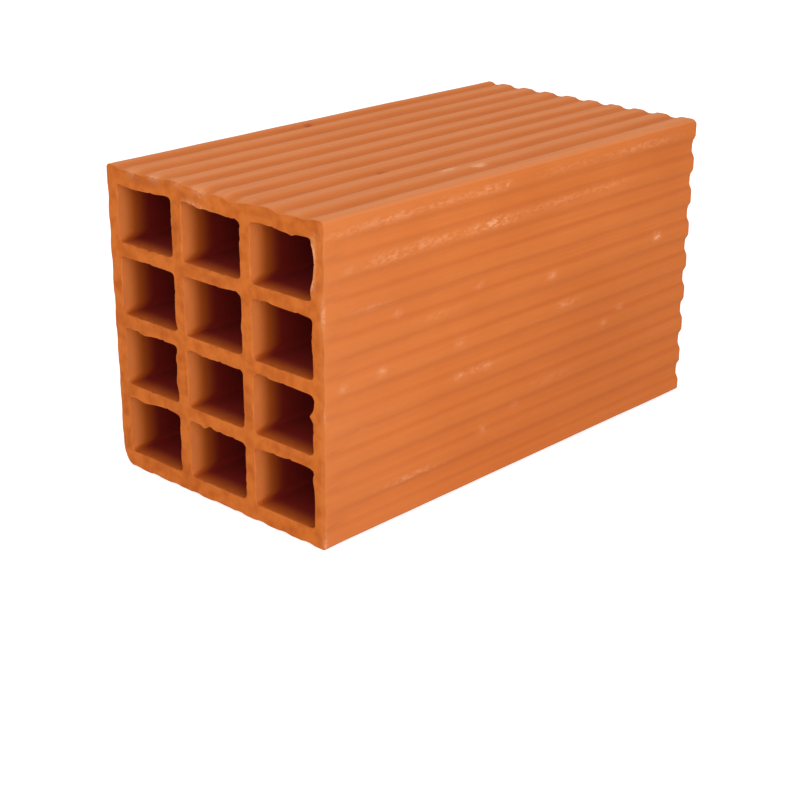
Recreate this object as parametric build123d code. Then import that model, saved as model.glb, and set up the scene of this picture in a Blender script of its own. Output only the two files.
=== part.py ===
from build123d import *
from math import isclose
import os

# A hollow clay brick for partition walls. It is one fired piece: clay pushed through a die
# that gives it ribbed faces and twelve cells, cut to length with a wire, dried and fired.
# Millimetres, +Z up. The cells run along Y, and the origin is the middle of the underside.

# Outside sizes, over the crests of the ridges.
brick_width = 175
brick_height = 184
brick_length = 332

# Walls and webs. A wall is measured from the crest of its ridges to the cell behind it.
side_wall = 9
bed_wall = 10.5
upright_web = 8.5
level_web = 9
cell_columns = 3
cell_rows = 4
cell_corner_radius = 2.5

# Ridges that key the mortar and the plaster, with a groove between each two.
bed_ridge_count = 10
bed_ridge_width = 9
bed_groove_depth = 2
side_ridge_count = 9
side_ridge_width = 11.2
side_groove_depth = 2.5
groove_flank_run = 2
ridge_edge_radius = 1.5
long_edge_radius = 3

# Size of one cell, left over between the walls and the webs.
cell_width = (brick_width - 2 * side_wall - (cell_columns - 1) * upright_web) / cell_columns
cell_height = (brick_height - 2 * bed_wall - (cell_rows - 1) * level_web) / cell_rows
column_pitch = cell_width + upright_web
row_pitch = cell_height + level_web


def grooves(face_width, ridge_count, ridge_width, depth):
    """The grooves of one face, in a row along X, cut down from Y = 0."""
    groove_count = ridge_count - 1
    mouth = (face_width - ridge_count * ridge_width) / groove_count
    floor = mouth - 2 * groove_flank_run
    groove = Polygon(
        (-mouth / 2, 0),
        (-floor / 2, -depth),
        (floor / 2, -depth),
        (mouth / 2, 0),
        align=None,
    )
    return Sketch() + GridLocations(mouth + ridge_width, 0, groove_count, 1) * groove


def on_long_edge(vertex):
    """Whether a point of the section is one of its four outside corners."""
    at_side = isclose(abs(vertex.X), brick_width / 2)
    at_bed = isclose(abs(vertex.Y), brick_height / 2)
    return at_side and at_bed


def outline():
    """The outside of the section: a rectangle with four ribbed faces and soft edges."""
    block = Rectangle(brick_width, brick_height)
    bed_grooves = grooves(brick_width, bed_ridge_count, bed_ridge_width, bed_groove_depth)
    side_grooves = grooves(brick_height, side_ridge_count, side_ridge_width, side_groove_depth)
    for turn in (0, 180):
        block -= Rot(0, 0, turn) * Pos(0, brick_height / 2) * bed_grooves
        block -= Rot(0, 0, turn + 90) * Pos(0, brick_width / 2) * side_grooves
    block = fillet(block.vertices().filter_by(on_long_edge, reverse=True), ridge_edge_radius)
    return fillet(block.vertices().filter_by(on_long_edge), long_edge_radius)


def cells():
    """The through cells, three across and four up."""
    cell = RectangleRounded(cell_width, cell_height, cell_corner_radius)
    return Sketch() + GridLocations(column_pitch, row_pitch, cell_columns, cell_rows) * cell


def hollow_brick():
    """The fired piece: its section pushed out along Y, as long each way from the middle."""
    section = outline() - cells()
    upright = Plane.XZ * Pos(0, brick_height / 2) * section
    return extrude(upright, brick_length / 2, both=True)


os.makedirs("parts", exist_ok=True)
export_step(hollow_brick(), "parts/hollow_brick.step")
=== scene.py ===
import math
import random

import bmesh
import bpy
from mathutils import Matrix, Vector, noise
from mathutils.kdtree import KDTree


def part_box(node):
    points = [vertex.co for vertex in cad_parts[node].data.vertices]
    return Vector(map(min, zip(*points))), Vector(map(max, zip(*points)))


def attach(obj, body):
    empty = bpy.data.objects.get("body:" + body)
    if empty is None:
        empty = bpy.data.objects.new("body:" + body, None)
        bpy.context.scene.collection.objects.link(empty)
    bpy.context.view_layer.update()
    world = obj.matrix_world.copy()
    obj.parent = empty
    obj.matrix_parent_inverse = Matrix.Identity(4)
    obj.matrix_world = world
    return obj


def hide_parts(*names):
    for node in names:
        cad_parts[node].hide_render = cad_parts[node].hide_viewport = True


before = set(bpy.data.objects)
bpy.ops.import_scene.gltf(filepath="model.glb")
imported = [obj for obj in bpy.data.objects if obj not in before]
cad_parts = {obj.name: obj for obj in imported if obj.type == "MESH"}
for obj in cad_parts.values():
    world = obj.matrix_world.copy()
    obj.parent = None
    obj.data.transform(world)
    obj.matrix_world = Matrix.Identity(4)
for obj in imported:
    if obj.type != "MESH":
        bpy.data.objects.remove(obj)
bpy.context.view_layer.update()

# The fired body. One piece of red-firing clay, pushed through a die as a wet column with
# twelve cells and ribbed faces, cut to length with a wire, dried, and fired once in a kiln.
mm = 0.001
low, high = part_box("hollow_brick")
width, length, height = high - low
middle_height = (low.z + high.z) / 2
side_wall = 9 * mm
bed_wall = 10.5 * mm
upright_web = 8.5 * mm
level_web = 9 * mm
cell_corner_radius = 2.5 * mm
long_edge_radius = 3 * mm
cell_width = (width - 2 * side_wall - 2 * upright_web) / 3
cell_height = (height - 2 * bed_wall - 3 * level_web) / 4
cell_lefts = [low.x + side_wall + column * (cell_width + upright_web) for column in range(3)]
cell_floors = [low.z + bed_wall + row * (cell_height + level_web) for row in range(4)]

# A cut that passes a point within this distance goes through it.
cut_tolerance = 0.05 * mm


def cut_through(shape, axis, places):
    """Cuts the faces of a shape where they cross these places along one axis."""
    normal = Vector((0, 0, 0))
    normal[axis] = 1
    for place in places:
        everything = shape.verts[:] + shape.edges[:] + shape.faces[:]
        bmesh.ops.bisect_plane(
            shape, geom=everything, dist=cut_tolerance, plane_co=normal * place, plane_no=normal
        )


def in_a_cell(point):
    """Whether a point of the section lies in one of the cells."""
    in_column = any(left < point.x < left + cell_width for left in cell_lefts)
    in_row = any(floor < point.z < floor + cell_height for floor in cell_floors)
    return in_column and in_row


def runs_along(edge):
    """Whether an edge runs the way the column was pushed, over most of its length."""
    run = edge.verts[1].co - edge.verts[0].co
    return abs(run.y) > 0.5 * length


# The die's opening: a flat plate at the front end, with the cells cut out of it.
body = bmesh.new()
front_end = Matrix.Translation((0, low.y, middle_height)) @ Matrix.Rotation(math.pi / 2, 4, "X")
plate_size = Matrix.Diagonal((width, height, 1, 1))
bmesh.ops.create_grid(body, x_segments=1, y_segments=1, size=0.5, matrix=front_end @ plate_size)
cut_through(body, 0, cell_lefts + [left + cell_width for left in cell_lefts])
cut_through(body, 2, cell_floors + [floor + cell_height for floor in cell_floors])
holes = [face for face in body.faces if in_a_cell(face.calc_center_median())]
bmesh.ops.delete(body, geom=holes, context="FACES")

# The column: the plate pushed out to the brick's length, with its corners rounded by the die.
# An edge is a corner where its faces turn by more than half a square angle.
pushed = bmesh.ops.extrude_face_region(body, geom=body.faces[:])
moved = [item for item in pushed["geom"] if isinstance(item, bmesh.types.BMVert)]
bmesh.ops.translate(body, verts=moved, vec=(0, length, 0))
bmesh.ops.recalc_face_normals(body, faces=body.faces[:])
half_square = math.radians(45)
inner_corners = [
    edge for edge in body.edges if runs_along(edge) and edge.calc_face_angle_signed(0) < -half_square
]
bmesh.ops.bevel(
    body, geom=inner_corners, offset=cell_corner_radius, segments=3, affect="EDGES",
    profile=0.5, material=-1,
)
outer_corners = [
    edge for edge in body.edges if runs_along(edge) and edge.calc_face_angle_signed(0) > half_square
]
bmesh.ops.bevel(
    body, geom=outer_corners, offset=long_edge_radius, segments=4, affect="EDGES",
    profile=0.5, material=-1,
)

# The wire leaves a sharp rim at the cut ends, and handling soon takes the sharpness off it.
rim_wear = 0.4 * mm
rims = [
    edge for edge in body.edges
    if edge.calc_face_angle(0) > half_square and not runs_along(edge)
]
bmesh.ops.bevel(
    body, geom=rims, offset=rim_wear, segments=1, affect="EDGES", profile=0.5, material=-1
)

# The ribs. Ridge and groove alternate over each outside face to key mortar and plaster, and
# each face begins and ends with a ridge. The clay's flanks come out softer than the die's,
# and the ridges of the sides are rubbed a little narrower.
flank_run = 2 * mm
flank_softness = 1.5 * mm
side_ridge_wear = 0.8 * mm


class Ribs:
    """The ribs of one pair of outside faces."""

    def __init__(self, face, count, crest, depth, wear):
        self.first = -face / 2 + crest / 2
        self.pitch = (face - crest) / (count - 1)
        self.count = count
        self.steep = crest / 2 - flank_softness - wear
        self.run = flank_run + 2 * flank_softness
        self.depth = depth

    def cuts(self):
        """Where to cut across the face so that each flank has three faces."""
        flank = [self.steep + self.run * share / 3 for share in range(4)]
        for ridge in range(self.count):
            middle = self.first + ridge * self.pitch
            yield from (middle, middle + self.pitch / 2)
            for step in [self.steep / 2] + flank:
                yield from (middle - step, middle + step)

    def groove(self, place):
        """How far down the groove is at a place across the face, from 0 on a crest to 1."""
        from_middle = (place - self.first + self.pitch / 2) % self.pitch - self.pitch / 2
        down = min(max((abs(from_middle) - self.steep) / self.run, 0), 1)
        return down * down * (3 - 2 * down)


bed_ribs = Ribs(width, 10, 9 * mm, 1.4 * mm, 0)
side_ribs = Ribs(height, 9, 11.2 * mm, 2.2 * mm, side_ridge_wear)
cut_through(body, 0, [cut for cut in bed_ribs.cuts() if low.x < cut < high.x])
cut_through(body, 2, [middle_height + cut for cut in side_ribs.cuts() if abs(cut) < height / 2])

# Points that cuts left closer together than they need to be are merged. Cutting leaves the
# points in an order of its own, so they are merged in order of place, for the same result each
# run.
in_order = sorted(body.verts, key=lambda vert: vert.co[:])
bmesh.ops.remove_doubles(body, verts=in_order, dist=2 * cut_tolerance)

# Lengthwise the column is cut finely near its ends, where it is worn. Between them its
# outside is cut evenly and its cells, which lie in the dark, only coarsely.
for from_end in (1.8, 3.4, 5.5, 8.5, 13, 20):
    cut_through(body, 1, [low.y + from_end * mm, high.y - from_end * mm])
outside_steps = 100
cell_steps = 5


def is_outside(edge):
    """Whether a lengthwise edge lies on an outside face and not in a cell."""
    x, _, z = edge.verts[0].co
    at_side = min(x - low.x, high.x - x) < side_wall / 2
    at_bed = min(z - low.z, high.z - z) < bed_wall / 2
    return at_side or at_bed


lengthwise = [edge for edge in body.edges if runs_along(edge)]
outside = [edge for edge in lengthwise if is_outside(edge)]
inside = [edge for edge in lengthwise if not is_outside(edge)]
bmesh.ops.subdivide_edges(body, edges=outside, cuts=outside_steps - 1, use_grid_fill=True)
bmesh.ops.subdivide_edges(body, edges=inside, cuts=cell_steps - 1, use_grid_fill=True)
body.verts.ensure_lookup_table()
body.verts.index_update()
body.normal_update()

# Marks of the cut, of handling and of the clay itself. Each is kept at the points that it
# reaches, as a number that the shape, the finish or both follow.
sunk = body.verts.layers.float.new("sunk")
dragged = body.verts.layers.float.new("dragged")
bitten = body.verts.layers.float.new("bitten")
bared = body.verts.layers.float.new("bared")
scuffed = body.verts.layers.float.new("scuffed")
pitted = body.verts.layers.float.new("pitted")
reddened = body.verts.layers.float.new("reddened")
points = KDTree(len(body.verts))
for vert in body.verts:
    points.insert(vert.co, vert.index)
points.balance()


def on_brick(across, along, up):
    """A place in millimetres from the brick's left side, front end and underside."""
    return Vector((low.x + across * mm, low.y + along * mm, low.z + up * mm))


# Where the faces opposite those three are, in the same millimetres.
right_side, back_end, upper_bed = (round(size / mm) for size in (width, length, height))

# A mark is left out past this many times its reach, where it is under a hundredth as strong.
faded = 2.2


def mark(layer, centre, reach, strength):
    """Adds a mark that fades out from its centre, with a reach in millimetres on each axis."""
    for place, index, _ in points.find_range(centre, faded * max(reach) * mm):
        offset = place - centre
        fading = sum((part / (distance * mm)) ** 2 for part, distance in zip(offset, reach))
        body.verts[index][layer] += strength * math.exp(-fading)


# Nicks round the mouths of the cells at the front end: where they are across and up the end,
# their reach, and how far they bite into the web. A minus sign is a burr, clay that the wire
# dragged over the mouth instead.
mouth_marks = [
    (56, 156, 3, 16, -0.9), (111, 158, 3, 8, -0.5), (84, 174, 3, 2, 0.9), (151, 174, 2, 2, -1),
    (166, 145, 3, 5, -1.9), (166, 160, 3, 8, 0.9), (166, 171, 3, 3, -1.2), (104, 131, 5, 2, 0.8),
    (131, 131, 4, 2, 0.8), (56, 108, 3, 8, -0.6), (56, 99, 3, 2, 1), (111, 113, 3, 3, -0.9),
    (166, 118, 3, 10, -1.1), (27, 88, 6, 2, -1.4), (80, 88, 8, 2, -1), (100, 88, 12, 2, -0.6),
    (145, 88, 12, 2, 0.6), (125, 88, 3, 2, 1.4), (56, 66, 3, 4, -1.2), (56, 80, 3, 3, -1.2),
    (56, 72, 3, 14, -1), (166, 76, 3, 2.6, -3.2), (166, 64, 3, 12, -1), (44, 45, 12, 2, 1.3),
    (24, 45, 5, 2, -1.1), (82, 45, 2.4, 2, 1.5), (77, 45, 2.5, 2, -1.5), (155, 45, 12, 2, 0.9),
    (56, 20, 3, 6, -1.2), (56, 36, 3, 6, -0.8), (111, 30, 3, 10, 0.6), (166, 39, 3, 4, -1.7),
]
for across, up, reach_across, reach_up, bite in mouth_marks:
    mark(bitten, on_brick(across, 0, up), (reach_across, 12, reach_up), bite * mm)

# The top wall's front edge, which the wire dragged down: across, its reach, and how far.
for across, reach_across, down in [
    (24, 15, 2.4), (42, 8, 0.8), (82, 11, 2.8), (107, 14, 3.4), (147, 14, 1.9),
]:
    mark(dragged, on_brick(across, 0, 179), (reach_across, 5, 9), down * mm)

# Clay torn low by the wire on the front end, darkened with painted shade: across and up, their
# reach, and their depth.
for across, up, reach_across, reach_up, depth in [
    (33, 179.3, 15, 2.3, 1.3), (66, 177.3, 6, 2.2, 0.9), (128, 178.5, 9, 2, 0.7), (58, 152, 2.5, 9, 0.5),
    (114, 66, 2.5, 12, 0.5), (90, 134.5, 14, 2, 0.5), (146, 48.5, 12, 2, 0.5), (30, 91.5, 14, 2, 0.4),
]:
    mark(sunk, on_brick(across, 0, up), (reach_across, 4, reach_up), depth * mm)
    mark(pitted, on_brick(across, 0, up), (reach_across, 4, reach_up), 0.25 + 0.2 * depth)

# Fresh clay at knocked edges and along the mouths, paler than the skin round it.
for across, along, up, reach, strength in [
    (167, 0, 165, (1.6, 3, 8), 1.1), (167, 0, 149, (1.6, 3, 4), 0.7), (174, 0, 134, (1.2, 1.2, 7), 0.9),
    (174.5, 0, 5, (1.4, 1.4, 4), 0.8), (175, 0, 76, (1.5, 1.5, 4), 0.4), (77, 0, 175, (8, 3, 1.6), 0.6),
    (42, 0, 184, (4, 3, 3), 0.9), (61, 0, 184, (4, 3, 3), 0.4), (79, 0, 184, (5, 3, 3), 0.6),
    (23, 0, 184, (4, 3, 3), 0.4),
]:
    mark(bared, on_brick(across, along, up), reach, strength)

# Pale scuffs along the right side where bricks rubbed together: along and up, their reach,
# and their strength.
for along, up, reach_along, reach_up, strength in [
    (14, 175, 14, 2, 0.3), (50, 176, 22, 2.4, 0.45), (92, 176.5, 14, 2, 0.4), (126, 176.5, 16, 2.2, 0.5),
    (143, 176, 5, 2, 0.6), (200, 176.5, 26, 2, 0.2), (272, 176.5, 34, 2.2, 0.35), (50, 155, 16, 2.6, 0.55),
    (88, 156, 18, 2.2, 0.35), (132, 156, 22, 2.6, 0.65), (136, 157, 6, 1.6, 0.4), (190, 157, 26, 2, 0.3),
    (240, 157.5, 24, 2, 0.25), (34, 130, 16, 2, 0.25), (68, 23, 22, 1.4, 0.55), (206, 92, 12, 2, 0.25),
    (120, 72, 14, 2, 0.25), (190, 48, 18, 1.8, 0.2), (90, 113, 16, 1.8, 0.2),
]:
    mark(scuffed, on_brick(right_side, along, up), (8, reach_along, reach_up), strength)

# Small knocks on the right side that bared fresh clay: along and up, and their strength.
for along, up, strength in [
    (189, 113, 0.6), (296, 114.5, 1.1), (44, 92, 0.6), (107, 92, 0.35), (202, 92, 0.45), (14, 90, 0.4),
    (107, 72, 0.3), (131, 72, 0.35), (58, 121, 0.3), (126, 121, 0.3), (262, 76, 0.3), (243, 70, 0.3),
    (76, 157, 0.5), (18, 154, 0.35), (160, 39, 0.3), (130, 32, 0.3), (30, 62, 0.25),
]:
    mark(bared, on_brick(right_side, along, up), (4, 3.2, 2), strength)

# A darker, redder patch low at the back of the right side.
mark(reddened, on_brick(right_side, 238, 58), (12, 82, 60), 0.8)

# Two pale chips, and two pits darkened with painted shade, on the upper bed.
for across, along, reach in [(148, 124, (2, 5, 4)), (153, 145, (2, 4, 4))]:
    mark(bared, on_brick(across, along, upper_bed), reach, 1.8)
    mark(sunk, on_brick(across, along, upper_bed), reach, 0.5 * mm)
for across, along in [(123.4, 97), (9.7, 150)]:
    mark(pitted, on_brick(across, along, upper_bed), (2, 2.4, 4), 1.2)
    mark(sunk, on_brick(across, along, upper_bed), (2, 2.4, 4), 1 * mm)

# The same kinds of mark on the faces that the photograph doesn't show, as chance leaves them:
# pits and scuffs on the left side and the lower bed, away from their long edges, then nicks and
# tears on the back end.
chance = random.Random(31)
pit_count = 40
scuff_count = 26
mouth_mark_count = 3
tear_count = 9
edge_gap = 6
end_gap = 4
for _ in range(pit_count):
    on_side = chance.random() < 0.5
    across = 0 if on_side else chance.uniform(edge_gap, right_side - edge_gap)
    up = chance.uniform(edge_gap, upper_bed - edge_gap) if on_side else 0
    place = on_brick(across, chance.uniform(end_gap, back_end - end_gap), up)
    size = chance.uniform(1.4, 2.6)
    mark(sunk, place, (size, size * 1.4, size), chance.uniform(0.3, 0.8) * mm)
    mark(pitted, place, (size, size, size), chance.uniform(0.1, 0.5))
for _ in range(scuff_count):
    on_side = chance.random() < 0.5
    across = 0 if on_side else chance.uniform(edge_gap, right_side - edge_gap)
    up = chance.uniform(edge_gap, upper_bed - edge_gap) if on_side else 0
    place = on_brick(across, chance.uniform(10, 320), up)
    mark(scuffed, place, (3, chance.uniform(6, 30), 3), chance.uniform(0.2, 0.7))
for left in cell_lefts:
    for floor in cell_floors:
        for _ in range(mouth_mark_count):
            across = left + chance.choice((0, cell_width))
            place = Vector((across, high.y, floor + chance.random() * cell_height))
            mark(bitten, place, (3, 12, chance.uniform(2, 8)), chance.uniform(-1.8, 1.2) * mm)
            up = floor + chance.choice((0, cell_height))
            place = Vector((left + chance.random() * cell_width, high.y, up))
            mark(bitten, place, (chance.uniform(2, 8), 12, 3), chance.uniform(-1.8, 1.2) * mm)
web_middles = (5, 49, 92, 135, 179)
for _ in range(tear_count):
    place = on_brick(chance.uniform(8, 167), back_end, chance.choice(web_middles))
    reach = (chance.uniform(5, 14), 4, 2.2)
    mark(sunk, place, reach, chance.uniform(0.4, 1.1) * mm)
    mark(pitted, place, reach, chance.uniform(0.2, 0.45))

# The finish also follows where a point lies: on a crest, in a groove or on a ledge that gets
# painted shade, on a cut end, or deep in a cell.
crest = body.verts.layers.float.new("crest")
painted_groove_shade = body.verts.layers.float.new("painted_groove_shade")
cut_end = body.verts.layers.float.new("cut_end")
deep = body.verts.layers.float.new("deep")
upright = body.verts.layers.float.new("upright")
cell_middles = [
    Vector((left + cell_width / 2, floor + cell_height / 2))
    for left in cell_lefts for floor in cell_floors
]
mouth_half = Vector((cell_width / 2 - cell_corner_radius, cell_height / 2 - cell_corner_radius))


def beyond_mouth(section):
    """How far a point of the section is from the nearest cell, and the way straight off it."""
    nearest = min(cell_middles, key=lambda middle: (section - middle).length)
    offset = section - nearest
    past = Vector((abs(offset.x) - mouth_half.x, abs(offset.y) - mouth_half.y))
    past = Vector((max(past.x, 0), max(past.y, 0)))
    away = Vector((math.copysign(past.x, offset.x), math.copysign(past.y, offset.y)))
    return past.length - cell_corner_radius, away.normalized()


def chance_wave(point, size, stretch=1):
    """A smooth random wave between -1 and 1, about this size, drawn out along the brick."""
    return noise.noise(Vector((point.x, point.y / stretch, point.z)) / size)


def rounded(first, second, first_radius, second_radius):
    """Distances from two faces that meet, for a point drawn in to their rounded edge."""
    if first >= first_radius or second >= second_radius:
        return first, second
    corner = Vector((1 - first / first_radius, 1 - second / second_radius))
    if corner.length <= 1:
        return first, second
    corner.normalize()
    return first_radius * (1 - corner.x), second_radius * (1 - corner.y)


# How much the faces wander and roughen, about how wide one wave of either is, and how many times
# longer the roughness is along the column than across it.
wander = 0.5 * mm
wander_width = 90 * mm
roughness_depth = 0.3 * mm
roughness_width = 7 * mm
roughness_drawn_out = 4

# How far the ribs sway, and over what length, how far they sit low on the sides and lie to the
# left on the beds, where they run off further towards the back, and the width by each long edge
# over which this starts.
ribs_sway = 0.35 * mm
sway_length = 60 * mm
ribs_low = 1.3 * mm
ribs_left = 0.8 * mm
ribs_run_off = 3 * mm
held_edge = 12 * mm

# How far in from the front end clay fills the grooves, and what share of them it fills.
groove_fill_run = 10 * mm
bed_groove_fill = 0.5
side_groove_fill = 0.75

# How uneven the mouths are, and over what width of web and what depth of cell. Only waves that
# rise above a fifth of their height bite a nick.
rim_wobble = 0.15 * mm
wobble_width = 9 * mm
rim_nicks = 1.6 * mm
nick_width = 3.6 * mm
nick_threshold = 0.2
mouth_width = 2 * mm
mouth_depth = 6 * mm

# How worn and chipped the edges of the ends are, with wide chips and narrow ones among them.
end_edge_radius = 1 * mm
end_edge_chips = 1.6 * mm
chip_width = 13 * mm
narrow_chip_width = 5 * mm
narrow_chip_share = 0.4

# The corner that was knocked off at the lower left of the front end, whose radii never fall to
# nothing, and how far the left side leans in towards its foot.
knock_across = 12 * mm
knock_up = 18 * mm
knock_run = 60 * mm
knock_unevenness = 0.15
knock_wave_width = 8 * mm
least_knock = 0.001
lean = 2.2 * mm

# Where dust begins by the ends, over what run it thickens, and how far its pale colour goes on
# down the left flanks of the crests, as painted light where those flanks face away from the
# lamp. Then how much of it is left on the lower bed and along the left long edge, how much lies
# on a side, and how much paler the right side is towards its front end, and over what run.
dust_starts = 0.3 * mm
dust_run = 1.2 * mm
painted_light_left = 1.4 * mm
lower_bed_dust_and_light = 0.5
left_edge_width = 10 * mm
left_edge_dust_and_light = 0.7
side_dust = 0.03
front_paling = 0.22
front_paling_run = 80 * mm

# How much painted shade darkens the grooves of the beds and the ledges of the sides, and the
# step up a side that tells a ledge, where the groove gets deeper, from an overhang. Then how many
# millimetres deeper in the cells their floors look than their walls do, because they face away
# from the light.
bed_groove_shade = 0.4
ledge_groove_shade = 1.8
ledge_step = 0.1 * mm
floor_gloom = 9


def by_front_end(point, run):
    """How near a point is to the front end: 1 at it, and almost 0 at twice this run from it."""
    return math.exp(-((point.y - low.y) / run) ** 2)


for vert in body.verts:
    start = vert.co.copy()
    inward = -vert.normal
    end_sign = math.copysign(1, start.y)
    from_end = length / 2 - abs(start.y)
    from_bed = min(start.z - low.z, high.z - start.z)
    from_side = min(start.x - low.x, high.x - start.x)
    on_skin = from_bed < bed_wall / 2 or from_side < side_wall / 2
    on_end = from_end < 0.6 * rim_wear
    facing_up = start.z > middle_height

    # Ribs. Their lines sway a little along the column, sit low on its sides, and run off to
    # the left on its beds, because the column sagged and turned as it left the die. The
    # outermost ridges stay where the long edges hold them.
    filled = by_front_end(start, groove_fill_run)
    sway = ribs_sway * chance_wave(start, sway_length)
    run_off = (ribs_left + ribs_run_off * (start.y - low.y) / length) * min(from_side / held_edge, 1)
    bed_down = bed_ribs.groove(start.x + sway + run_off) * (1 - bed_groove_fill * filled)
    dust_and_light_gone = bed_ribs.groove(start.x + sway + run_off + painted_light_left)
    up_side = start.z - middle_height + sway + ribs_low * min(from_bed / held_edge, 1)
    side_down = side_ribs.groove(up_side) * (1 - side_groove_fill * filled)
    bed_share = max(1 - from_bed / bed_wall, 0)
    side_share = max(1 - from_side / side_wall, 0)
    vert.co.z += math.copysign(bed_ribs.depth * bed_down * bed_share, middle_height - start.z)
    vert.co.x -= math.copysign(side_ribs.depth * side_down * side_share, start.x)

    # Relief of the surface, always inwards from the die's and the wire's own lines.
    rough = 0.5 + 0.5 * chance_wave(start, roughness_width, 1 if on_end else roughness_drawn_out)
    slow = 0.5 + 0.5 * chance_wave(start, wander_width)
    resting = not facing_up and from_bed < long_edge_radius
    depth = vert[sunk] + roughness_depth * rough + (0 if resting else wander * slow)
    vert.co += inward * depth

    # Mouths of the cells, wavy and nicked, healing over the first centimetre.
    off_mouth, away = beyond_mouth(Vector((start.x, start.z)))
    if off_mouth < 2 * mouth_width:
        near = math.exp(-(max(off_mouth, 0) / mouth_width) ** 2) * math.exp(-(from_end / mouth_depth) ** 2)
        wavy = rim_wobble * chance_wave(start, wobble_width)
        nicked = rim_nicks * max(chance_wave(start, nick_width) - nick_threshold, 0)
        shift = near * (wavy + nicked + vert[bitten])
        vert.co.x += away.x * shift
        vert.co.z += away.y * shift

    # Edges of the cut ends, worn round and chipped here and there.
    chips = chance_wave(start, chip_width) + narrow_chip_share * chance_wave(start, narrow_chip_width)
    radius = end_edge_radius + end_edge_chips * max(chips, 0)
    to_end = length / 2 - abs(vert.co.y)
    to_bed = min(vert.co.z - low.z, high.z - vert.co.z)
    to_end, new_to_bed = rounded(to_end, to_bed, radius, radius)
    vert.co.z += math.copysign(new_to_bed - to_bed, middle_height - vert.co.z)
    to_side = min(vert.co.x - low.x, high.x - vert.co.x)
    to_end, new_to_side = rounded(to_end, to_side, radius, radius)
    vert.co.x -= math.copysign(new_to_side - to_side, vert.co.x)
    vert.co.y = end_sign * (length / 2 - to_end)
    vert.co.z -= vert[dragged]

    # The knocked corner at the front, and the lean of the left side.
    healing = by_front_end(start, knock_run)
    uneven = 1 + knock_unevenness * chance_wave(start, knock_wave_width)
    across_now, up_now = vert.co.x - low.x, vert.co.z - low.z
    lost = healing * uneven + least_knock
    across_worn, up_worn = rounded(across_now, up_now, knock_across * lost, knock_up * lost)
    vert.co.x = low.x + across_worn
    vert.co.z = low.z + up_worn
    from_right = (high.x - vert.co.x) / width
    vert.co.x += lean * healing ** 0.25 * from_right ** 2 * (1 - (vert.co.z - low.z) / height)
    vert.co = [min(max(at, least), most) for at, least, most in zip(vert.co, low, high)]

    # Dust lies on the crests of the beds, most of all on the upper bed, and its colour goes on
    # down their left flanks as painted light where they face away from the lamp. It lies thinly on
    # the sides, and the right side is paler towards its front end. The grooves of the beds and the
    # ledges of the sides get painted shade.
    vert[cut_end] = 1 if on_end else 0
    if on_skin and from_bed < from_side:
        clear_of_end = min(max((from_end - dust_starts) / dust_run, 0), 1)
        vert[crest] = (1 - dust_and_light_gone) * clear_of_end * (1 if facing_up else lower_bed_dust_and_light)
        vert[painted_groove_shade] = bed_groove_shade * bed_down
        if start.x < low.x + left_edge_width:
            vert[crest] *= left_edge_dust_and_light
    elif on_skin:
        near_front = by_front_end(start, front_paling_run) if start.x > 0 else 0
        vert[crest] = side_dust + front_paling * near_front
        flank_faces_up = side_ribs.groove(up_side + ledge_step) > side_ribs.groove(up_side)
        vert[painted_groove_shade] = 4 * side_down * (1 - side_down) * (ledge_groove_shade if flank_faces_up else 0)
    else:
        vert[deep] = from_end / mm + floor_gloom * max(-inward.z, 0)
        vert[upright] = 0 if on_end else abs(inward.x)

bmesh.ops.recalc_face_normals(body, faces=body.faces[:])
mesh = bpy.data.meshes.new("fired_body")
body.to_mesh(mesh)
body.free()
mesh.shade_smooth()
crease_angle = math.radians(38)
mesh.set_sharp_from_angle(angle=crease_angle)
fired_body = bpy.data.objects.new("fired_body", mesh)
bpy.context.scene.collection.objects.link(fired_body)
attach(fired_body, "root")
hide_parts("hollow_brick")


def linear(hex_colour):
    """The linear RGBA colour of an sRGB hex value."""
    shares = [int(hex_colour[start:start + 2], 16) / 255 for start in (1, 3, 5)]
    return [
        share / 12.92 if share <= 0.04045 else ((share + 0.055) / 1.055) ** 2.4 for share in shares
    ] + [1]


def add_node(tree, kind, settings, inputs, output=0):
    """Adds a node with its settings, sets or links its inputs, and gives one of its outputs."""
    node = tree.nodes.new(kind)
    for name, value in settings.items():
        setattr(node, name, value)
    for socket in node.inputs:
        value = inputs.get(socket.identifier)
        if isinstance(value, bpy.types.NodeSocket):
            tree.links.new(value, socket)
        elif value is not None:
            socket.default_value = value
    return node.outputs[output]


# Its finish: unglazed red earthenware, fired at about 950 degrees and left as it came from
# the kiln. It is porous and quite matt, orange-red and a little blotchy, smooth but streaked
# where the die dressed it, coarser where the wire cut it, and dusty pink on its crests.
clay_skin = linear("#DE7C39")
clay_deep = linear("#CE6C2B")
clay_flushed = linear("#C8692A")
clay_cut = linear("#D87226")
clay_torn = linear("#C15D15")
clay_dust_and_light = linear("#E18951")
clay_fresh = linear("#EFA677")
clay_shade = linear("#9A4314")
painted_mouth_light = linear("#EE8640")
painted_shade_in = linear("#BC590D")
painted_shade_far_in = linear("#7E1407")
blotch_width = 60 * mm
streak_width = 2.5 * mm
streak_length = 90 * mm
mottle_width = 7 * mm
scratch_width = 1.6 * mm
scratch_length = 4 * mm
grit_width = 1.6 * mm

finish = bpy.data.materials.new("unglazed_red_earthenware")
finish.use_nodes = True
tree = finish.node_tree
tree.nodes.clear()
place = add_node(tree, "ShaderNodeTexCoord", {}, {}, 3)
noise_kind, math_kind, mix_kind = "ShaderNodeTexNoise", "ShaderNodeMath", "ShaderNodeMix"
range_kind, stored_kind = "ShaderNodeMapRange", "ShaderNodeAttribute"

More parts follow.
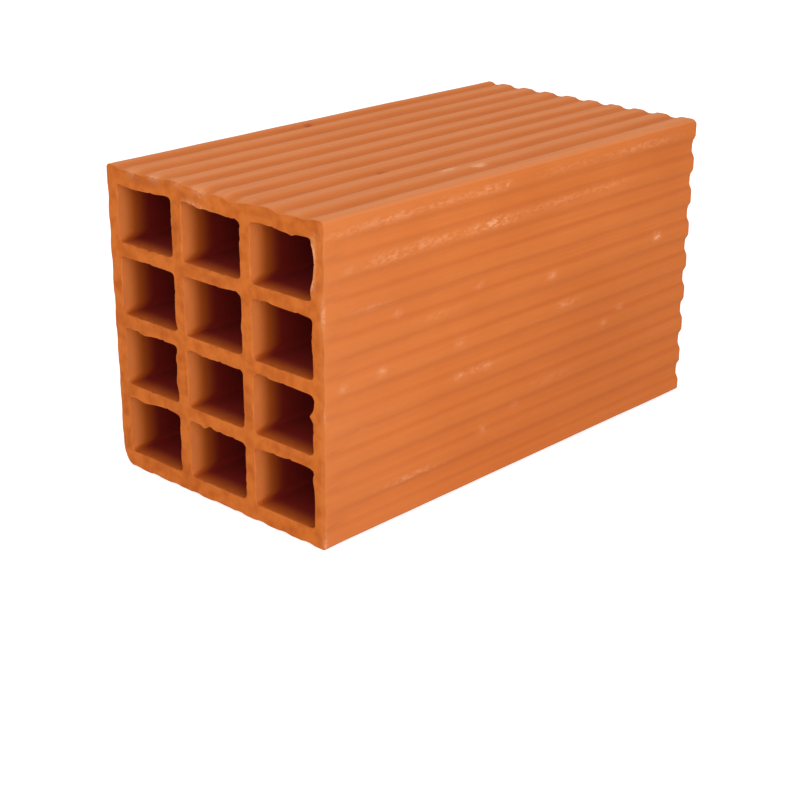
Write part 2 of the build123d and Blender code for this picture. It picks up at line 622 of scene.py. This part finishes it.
# Blotches a few centimetres wide, from uneven fire.
blotches = add_node(tree, noise_kind, {}, {"Vector": place, "Scale": 1 / blotch_width, "Detail": 3})
blotched = add_node(
    tree, range_kind, {},
    {"Value": blotches, "From Min": 0.3, "From Max": 0.7, "To Min": 0.2, "To Max": 0.8},
)
colour = add_node(
    tree, mix_kind, {"data_type": "RGBA"},
    {"Factor_Float": blotched, "A_Color": clay_skin, "B_Color": clay_deep}, 2,
)

# Streaks that the die drew along the column, wide ones with finer ones among them.
drawn = add_node(
    tree, "ShaderNodeMapping", {},
    {"Vector": place, "Scale": (1 / streak_width, 1 / streak_length, 1 / streak_width)},
)
streaks = add_node(tree, noise_kind, {}, {"Vector": drawn, "Scale": 1, "Detail": 4, "Roughness": 0.65})
streaked = add_node(
    tree, range_kind, {}, {"Value": streaks, "From Min": 0.38, "From Max": 0.66, "To Max": 0.55}
)
colour = add_node(
    tree, mix_kind, {"data_type": "RGBA"},
    {"Factor_Float": streaked, "A_Color": colour, "B_Color": clay_deep}, 2,
)

# The darker, redder patch low at the back of the right side.
flushed = add_node(tree, stored_kind, {"attribute_name": "reddened"}, {}, 2)
colour = add_node(
    tree, mix_kind, {"data_type": "RGBA"},
    {"Factor_Float": flushed, "A_Color": colour, "B_Color": clay_flushed}, 2,
)

# Painted shade in the grooves of the beds and on the ledges of the sides.
corners = add_node(tree, stored_kind, {"attribute_name": "painted_groove_shade"}, {}, 2)
groove_shade_share = add_node(tree, math_kind, {"operation": "MULTIPLY"}, {"Value": corners, "Value_001": 0.16})
colour = add_node(
    tree, mix_kind, {"data_type": "RGBA"},
    {"Factor_Float": groove_shade_share, "A_Color": colour, "B_Color": clay_shade}, 2,
)

# The cut ends, a redder clay under the skin, mottled where the wire tore and smeared it.
cut = add_node(tree, stored_kind, {"attribute_name": "cut_end"}, {}, 2)
mottle = add_node(tree, noise_kind, {}, {"Vector": place, "Scale": 1 / mottle_width, "Detail": 4})
mottled = add_node(tree, range_kind, {}, {"Value": mottle, "From Min": 0.38, "From Max": 0.7})
cut_colour = add_node(
    tree, mix_kind, {"data_type": "RGBA"},
    {"Factor_Float": mottled, "A_Color": clay_cut, "B_Color": clay_torn}, 2,
)
colour = add_node(
    tree, mix_kind, {"data_type": "RGBA"},
    {"Factor_Float": cut, "A_Color": colour, "B_Color": cut_colour}, 2,
)

# Pink dust on the crests, rubbed thin in places. Its colour is also painted light on the left
# flanks of the beds' crests, and it makes the right side paler towards its front end.
crests = add_node(tree, stored_kind, {"attribute_name": "crest"}, {}, 2)
rubbed = add_node(tree, noise_kind, {}, {"Vector": drawn, "Scale": 0.5, "Detail": 3})
rubbing = add_node(
    tree, range_kind, {},
    {"Value": rubbed, "From Min": 0.3, "From Max": 0.6, "To Min": 0.55, "To Max": 1},
)
dusted_and_lit = add_node(tree, math_kind, {"operation": "MULTIPLY"}, {"Value": crests, "Value_001": rubbing})
colour = add_node(
    tree, mix_kind, {"data_type": "RGBA"},
    {"Factor_Float": dusted_and_lit, "A_Color": colour, "B_Color": clay_dust_and_light}, 2,
)

# Scuffs, made of short pale scratches that crowd where the rubbing was hard.
scuffs = add_node(tree, stored_kind, {"attribute_name": "scuffed"}, {}, 2)
rubbed_along = add_node(
    tree, "ShaderNodeMapping", {},
    {"Vector": place, "Scale": (1 / scratch_width, 1 / scratch_length, 1 / scratch_width)},
)
scratches = add_node(tree, noise_kind, {}, {"Vector": rubbed_along, "Scale": 1, "Detail": 3})
scratched = add_node(
    tree, range_kind, {},
    {"Value": scratches, "From Min": 0.4, "From Max": 0.66, "To Min": 0.05, "To Max": 1.3},
)
scuffed_there = add_node(
    tree, math_kind, {"operation": "MULTIPLY", "use_clamp": True},
    {"Value": scuffs, "Value_001": scratched},
)
colour = add_node(
    tree, mix_kind, {"data_type": "RGBA"},
    {"Factor_Float": scuffed_there, "A_Color": colour, "B_Color": clay_fresh}, 2,
)

# Fresh clay at chips, broken up as the scratches are, and painted shade in pits and tears.
fresh = add_node(tree, stored_kind, {"attribute_name": "bared"}, {}, 2)
broken_up = add_node(
    tree, range_kind, {},
    {"Value": scratches, "From Min": 0.4, "From Max": 0.62, "To Min": 0.35, "To Max": 1.3},
)
fresh_there = add_node(
    tree, math_kind, {"operation": "MULTIPLY", "use_clamp": True},
    {"Value": fresh, "Value_001": broken_up},
)
colour = add_node(
    tree, mix_kind, {"data_type": "RGBA"},
    {"Factor_Float": fresh_there, "A_Color": colour, "B_Color": clay_fresh}, 2,
)
pits = add_node(tree, stored_kind, {"attribute_name": "pitted"}, {}, 2)
pits_there = add_node(
    tree, math_kind, {"operation": "MULTIPLY", "use_clamp": True}, {"Value": pits, "Value_001": 0.8}
)
colour = add_node(
    tree, mix_kind, {"data_type": "RGBA"},
    {"Factor_Float": pits_there, "A_Color": colour, "B_Color": clay_shade}, 2,
)

# The cells' upright walls are painted lighter at their mouths, as painted light where light
# falls in, and look orange-brown and then maroon within 24 mm of them, because so little light
# comes in. Their colour changes with the depth to say so, as painted shade.
painted_light_walls = add_node(tree, stored_kind, {"attribute_name": "upright"}, {}, 2)
colour = add_node(
    tree, mix_kind, {"data_type": "RGBA"},
    {"Factor_Float": painted_light_walls, "A_Color": colour, "B_Color": painted_mouth_light}, 2,
)
depth_in = add_node(tree, stored_kind, {"attribute_name": "deep"}, {}, 2)
for from_depth, to_depth, deeper in [(4, 14, painted_shade_in), (9.5, 24, painted_shade_far_in)]:
    this_deep = add_node(
        tree, range_kind, {"interpolation_type": "SMOOTHSTEP"},
        {"Value": depth_in, "From Min": from_depth, "From Max": to_depth},
    )
    colour = add_node(
        tree, mix_kind, {"data_type": "RGBA"},
        {"Factor_Float": this_deep, "A_Color": colour, "B_Color": deeper}, 2,
    )

# Grit stands out of the surface, and the die's streaks groove it. Most of the real grit is
# under 0.5 mm, and it is drawn up to 1.6 mm wide here so that it still shows.
grit = add_node(
    tree, noise_kind, {}, {"Vector": place, "Scale": 1 / grit_width, "Detail": 4, "Roughness": 0.6}
)
bump = add_node(
    tree, "ShaderNodeBump", {}, {"Strength": 0.5, "Distance": 0.35 * mm, "Height": grit}
)
bump = add_node(
    tree, "ShaderNodeBump", {},
    {"Strength": 0.35, "Distance": 0.3 * mm, "Height": streaks, "Normal": bump},
)
clay_shader = add_node(
    tree, "ShaderNodeBsdfPrincipled", {},
    {"Base Color": colour, "Roughness": 0.9, "IOR": 1.5, "Specular IOR Level": 0.3, "Normal": bump},
)
clay_output = tree.nodes.new("ShaderNodeOutputMaterial")
tree.links.new(clay_shader, clay_output.inputs["Surface"])
mesh.materials.append(finish)


def plainly_seen(tree):
    """Whether a ray comes from the camera itself, by a sharp reflection, or through something."""
    camera_ray = add_node(tree, "ShaderNodeLightPath", {}, {}, 0)
    glossy_ray = add_node(tree, "ShaderNodeLightPath", {}, {}, 3)
    through_ray = add_node(tree, "ShaderNodeLightPath", {}, {}, 6)
    either = add_node(
        tree, math_kind, {"operation": "MAXIMUM"}, {"Value": camera_ray, "Value_001": glossy_ray}
    )
    return add_node(
        tree, math_kind, {"operation": "MAXIMUM"}, {"Value": either, "Value_001": through_ray}
    )


# The floor, a plain pale sheet that the brick lies on and casts its shadow on.
floor_mesh = bpy.data.meshes.new("floor")
sheet = bmesh.new()
bmesh.ops.create_grid(sheet, x_segments=1, y_segments=1, size=6)
sheet.to_mesh(floor_mesh)
sheet.free()
floor = bpy.data.objects.new("floor", floor_mesh)
bpy.context.scene.collection.objects.link(floor)
pale = bpy.data.materials.new("pale_floor")
pale.use_nodes = True
tree = pale.node_tree
tree.nodes.clear()
seen = plainly_seen(tree)
lift = add_node(tree, math_kind, {"operation": "MULTIPLY"}, {"Value": seen, "Value_001": 0.7})
floor_shader = add_node(
    tree, "ShaderNodeBsdfPrincipled", {},
    {
        "Base Color": (0.6, 0.6, 0.6, 1), "Roughness": 1,
        "Emission Color": (1, 1, 1, 1), "Emission Strength": lift,
    },
)
floor_output = tree.nodes.new("ShaderNodeOutputMaterial")
tree.links.new(floor_shader, floor_output.inputs["Surface"])
floor_mesh.materials.append(pale)

# The light of a plain studio: pale all round, and white where it is plainly seen.
world = bpy.data.worlds.new("studio")
bpy.context.scene.world = world
world.use_nodes = True
tree = world.node_tree
tree.nodes.clear()
seen = plainly_seen(tree)
strength = add_node(tree, range_kind, {}, {"Value": seen, "To Min": 0.77, "To Max": 1})
background = add_node(tree, "ShaderNodeBackground", {}, {"Color": (1, 1, 1, 1), "Strength": strength})
world_output = tree.nodes.new("ShaderNodeOutputWorld")
tree.links.new(background, world_output.inputs["Surface"])


def lamp(name, azimuth, elevation, distance, size, power):
    """A soft square lamp aimed at the brick, at an azimuth from its front end to its right."""
    aim = Vector((0, 0, height / 2))
    level = math.cos(math.radians(elevation))
    way = Vector((
        math.sin(math.radians(azimuth)) * level,
        -math.cos(math.radians(azimuth)) * level,
        math.sin(math.radians(elevation)),
    ))
    data = bpy.data.lights.new(name, "AREA")
    data.size = size
    data.energy = power
    lamp_object = bpy.data.objects.new(name, data)
    bpy.context.scene.collection.objects.link(lamp_object)
    lamp_object.location = aim + way * distance
    lamp_object.rotation_euler = (-way).to_track_quat("-Z", "Y").to_euler()


lamp("key_lamp", azimuth=68, elevation=9, distance=0.95, size=0.8, power=3.6)
lamp("fill_lamp", azimuth=22, elevation=15, distance=2.2, size=1.5, power=9.5)

# The camera, at the photograph's viewing angle and tilted a little about its own line of sight.
camera_roll = math.radians(0.55)
camera_data = bpy.data.cameras.new("camera")
camera_data.sensor_width = 36
camera_data.lens = 76.88
camera = bpy.data.objects.new("camera", camera_data)
bpy.context.scene.collection.objects.link(camera)
camera.location = (0.6751, -0.7443, 0.4189)
view_way = Vector((-0.6300, 0.6817, -0.3721))
level_camera = view_way.to_track_quat("-Z", "Y").to_matrix().to_4x4()
camera.rotation_euler = (level_camera @ Matrix.Rotation(camera_roll, 4, "Z")).to_euler()
bpy.context.scene.camera = camera
bpy.context.scene.view_settings.view_transform = "Standard"
